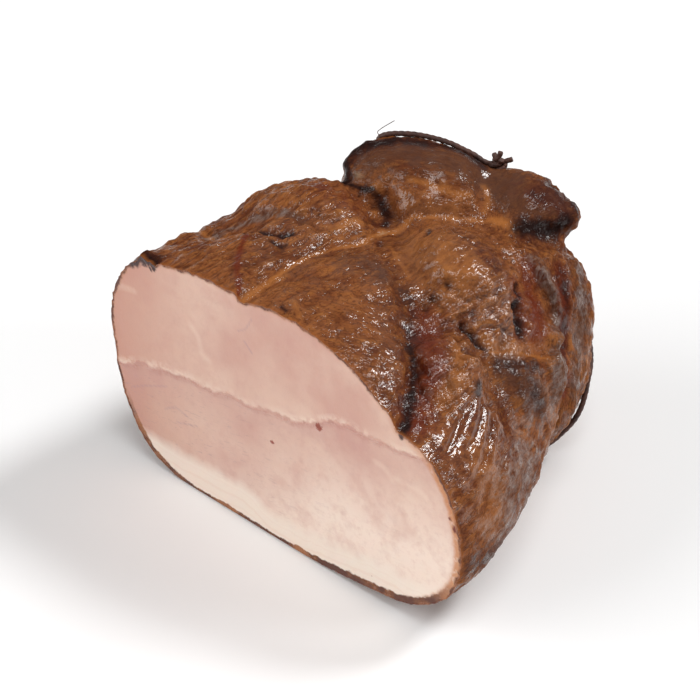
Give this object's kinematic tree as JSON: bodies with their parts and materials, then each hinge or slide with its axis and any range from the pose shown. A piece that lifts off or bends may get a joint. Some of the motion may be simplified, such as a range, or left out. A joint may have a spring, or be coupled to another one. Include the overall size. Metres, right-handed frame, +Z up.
{
  "type": "smoked ham",
  "caption": "Boneless smoked ham cut square across, lying on its flat underside with the pale cut face upright in front and butcher's twine tied round its lumpy rear end; prepared food prop.",
  "frame": {"origin": "on the flat underside, where the ham rests, under the middle of the whole", "axes": "+X along the length of the cut face to its right, +Y into the meat away from the cut face, +Z up"},
  "size_m": [0.1724, 0.1398, 0.1125],
  "materials": {
    "smoked_meat": "wrinkled glossy red-brown smoked skin, with a moist pale pink cut face that has a cream fat edge and seams",
    "twine": "twisted butcher's twine, smoked dark reddish brown"
  },
  "bodies": {
    "root": {"ham": "smoked_meat", "twine": "twine"}
  },
  "joints": []
}
